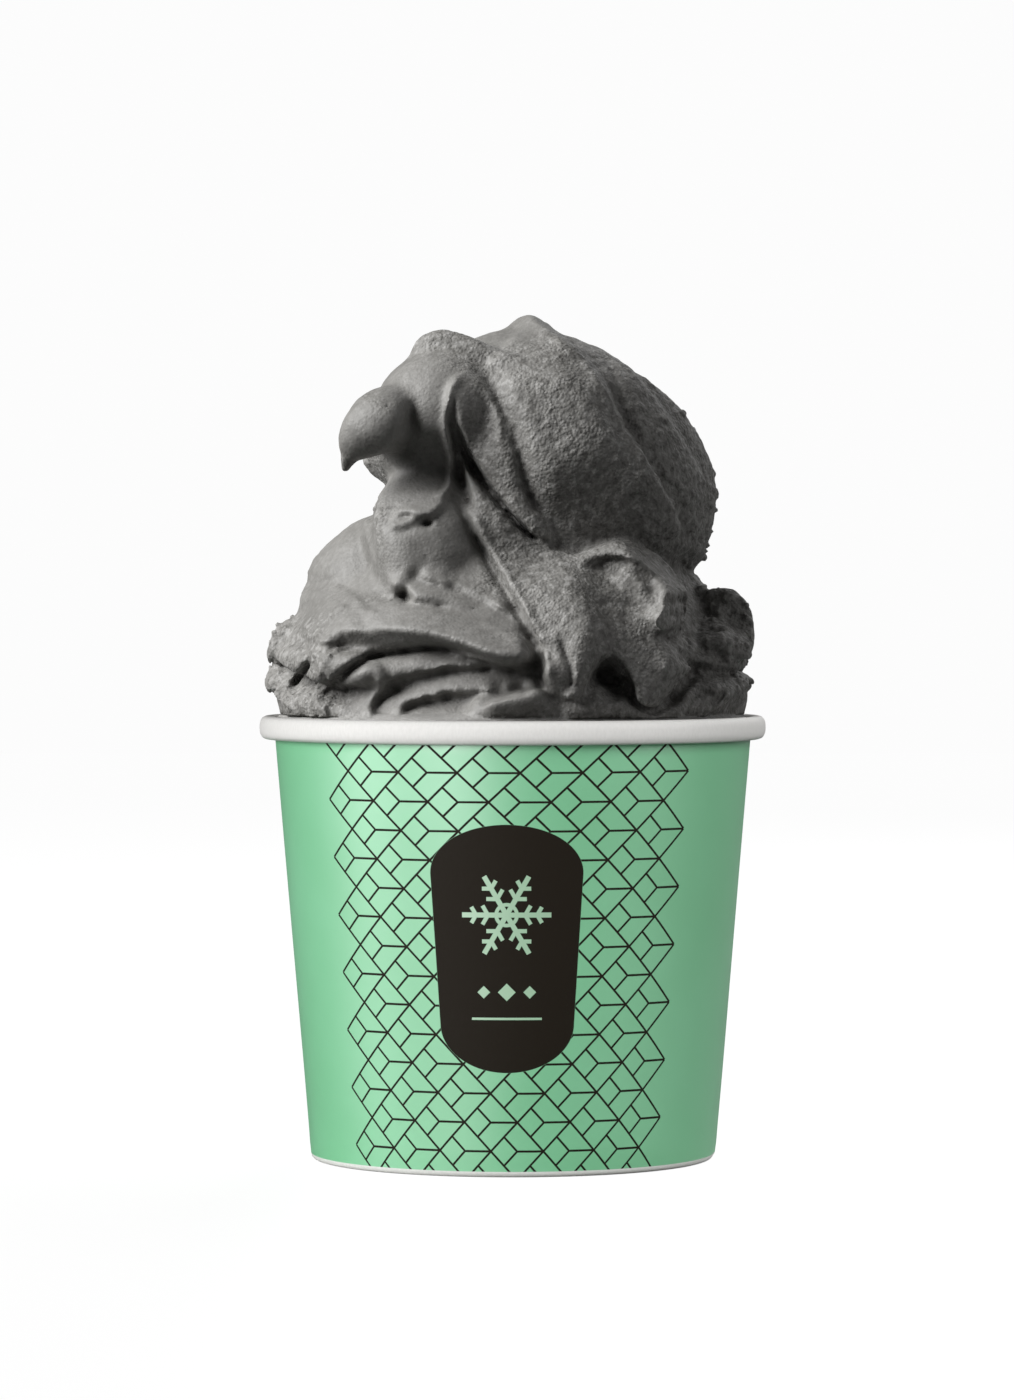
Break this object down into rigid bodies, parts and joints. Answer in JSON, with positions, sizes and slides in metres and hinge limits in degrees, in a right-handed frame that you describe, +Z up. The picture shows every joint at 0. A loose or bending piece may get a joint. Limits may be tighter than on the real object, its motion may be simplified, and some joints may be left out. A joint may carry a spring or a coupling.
{
  "type": "gelato cup",
  "caption": "Mint paper cup with a rolled white rim, heaped high with folded grey gelato.",
  "frame": {"origin": "middle of the cup's foot, on the surface it stands on", "axes": "+Z up along the cup's axis; the badge and the draped fold of gelato face -Y; the gelato's pointed curl is at -X"},
  "size_m": [0.096, 0.096, 0.1575],
  "materials": {
    "printed_board": "satin",
    "white_board": "satin",
    "gelato": "satin"
  },
  "bodies": {
    "root": {"cup_wall": "printed_board", "cup_base": "white_board", "gelato": "gelato"}
  },
  "joints": []
}
